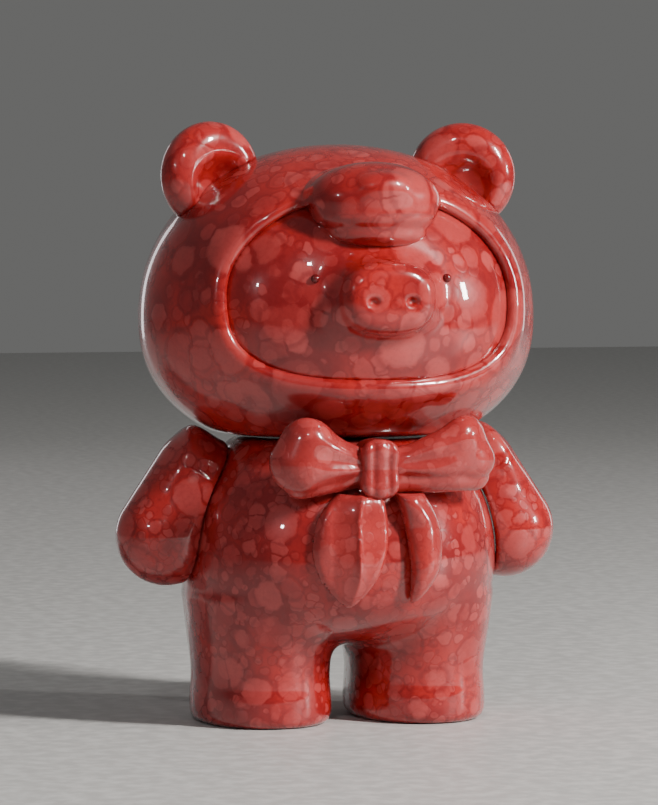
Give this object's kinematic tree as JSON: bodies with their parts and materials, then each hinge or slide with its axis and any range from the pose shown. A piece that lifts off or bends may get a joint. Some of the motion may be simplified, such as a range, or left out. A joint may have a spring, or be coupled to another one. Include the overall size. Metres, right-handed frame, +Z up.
{
  "type": "articulated vinyl figure",
  "caption": "Glossy mottled-red piglet figure in a bear-eared hood, with a bow at its neck, a turning head and two swinging arms.",
  "frame": {"origin": "on the floor plane under the neck's axis, at the centre of the footprint", "axes": "+Z up along the neck's axis, -Y out of the face, +X towards the figure's own left"},
  "size_m": [0.091, 0.0788, 0.1198],
  "materials": {
    "hood_red": "high-gloss mottled red lacquer over moulded vinyl",
    "body_red": "high-gloss mottled red lacquer over moulded vinyl",
    "face_red": "high-gloss mottled red lacquer over moulded vinyl",
    "bow_red": "high-gloss mottled red lacquer over moulded vinyl",
    "eye_dark": "high-gloss dark red enamel",
    "joint_plastic": "unpainted moulded hard plastic"
  },
  "bodies": {
    "torso": {"body_shell": "body_red", "neck_post": "joint_plastic", "left_shoulder_bush": "joint_plastic", "right_shoulder_bush": "joint_plastic", "bow_knot": "bow_red", "left_bow_loop": "bow_red", "right_bow_loop": "bow_red", "left_bow_tail": "bow_red", "right_bow_tail": "bow_red"},
    "head": {"head_hood": "hood_red", "face_plate": "face_red", "left_eye": "eye_dark", "right_eye": "eye_dark", "hood_muzzle": "hood_red", "left_ear": "hood_red", "right_ear": "hood_red", "neck_socket": "joint_plastic"},
    "left_arm_body": {"left_arm": "body_red", "left_arm_peg": "joint_plastic"},
    "right_arm_body": {"right_arm": "body_red", "right_arm_peg": "joint_plastic"}
  },
  "joints": [
    {"name": "head_turn", "type": "hinge", "parent": "torso", "child": "head", "pos_m": [0, 0, 0.0574], "axis": [0, 0, 1], "continuous": true},
    {"name": "left_arm_swing", "type": "hinge", "parent": "torso", "child": "left_arm_body", "pos_m": [0, 0, 0.033], "axis": [0.866, 0, 0.5], "range_deg": [-75, 80]},
    {"name": "right_arm_swing", "type": "hinge", "parent": "torso", "child": "right_arm_body", "pos_m": [0, 0, 0.033], "axis": [0.866, 0, -0.5], "range_deg": [-75, 80]}
  ]
}
